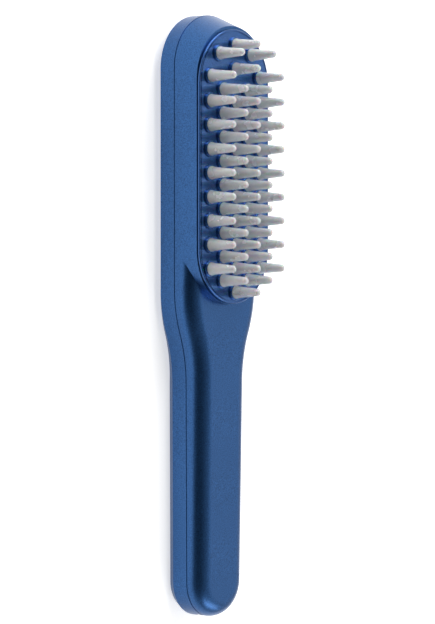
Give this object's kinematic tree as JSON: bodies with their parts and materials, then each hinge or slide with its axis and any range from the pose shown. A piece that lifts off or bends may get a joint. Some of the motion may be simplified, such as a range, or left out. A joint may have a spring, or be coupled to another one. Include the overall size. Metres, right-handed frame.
{
  "type": "scalp massager brush",
  "caption": "Handheld scalp massager with an oval head of hollow soft pins in raised collars, a slim two-shell handle, a press button and a charging socket.",
  "frame": {"origin": "on the flat back of the handle, midway along the whole length", "axes": "+X along the length towards the handle's round end, +Z the way the pins point, +Y across"},
  "size_m": [0.23, 0.0418, 0.0346],
  "materials": {
    "casing_blue": "satin",
    "plate_blue": "gloss",
    "ring_blue": "gloss",
    "frosted_silicone": "matte",
    "dark_seal": "matte",
    "clear_sheet": "gloss",
    "board_green": "satin",
    "led_white": "gloss",
    "steel": "satin",
    "brass_weight": "satin",
    "grey_rubber": "matte",
    "black_plastic": "matte",
    "button_blue": "gloss",
    "cell_foil": "satin",
    "foam_grey": "matte",
    "lead_red": "matte",
    "film_amber": "satin"
  },
  "bodies": {
    "casing": {"front_shell": "casing_blue", "rear_shell": "casing_blue", "plate_gasket": "dark_seal", "bezel_ring": "ring_blue", "bristle_plate": "plate_blue", "bristles": "frosted_silicone", "pin_retainer": "clear_sheet", "led_board": "board_green", "leds": "led_white", "led_board_screws": "steel", "motor_can": "steel", "motor_boot": "grey_rubber", "motor_clamp": "black_plastic", "motor_clamp_screws": "steel", "control_board": "board_green", "control_board_screws": "steel", "control_chips": "black_plastic", "tact_switch": "black_plastic", "indicator_led": "led_white", "light_pipe": "clear_sheet", "battery_foam": "foam_grey", "battery_cell": "cell_foil", "charge_board": "board_green", "charge_board_screws": "steel", "usb_shell": "steel", "usb_tongue": "black_plastic", "battery_leads": "lead_red", "motor_leads": "lead_red", "charge_leads": "lead_red", "ribbon_cable": "film_amber"},
    "rotor": {"motor_shaft": "steel", "eccentric_weight": "brass_weight"},
    "button": {"power_button": "button_blue", "button_plunger": "black_plastic"}
  },
  "joints": [
    {"name": "rotor_spin", "type": "hinge", "parent": "casing", "child": "rotor", "pos_m": [-0.0625, 0, 0.0086], "axis": [1, 0, 0], "continuous": true},
    {"name": "button_press", "type": "slide", "parent": "casing", "child": "button", "axis": [0, 0, 1], "range_m": [0, 0.0005], "stiffness_N_per_m": 2000}
  ]
}
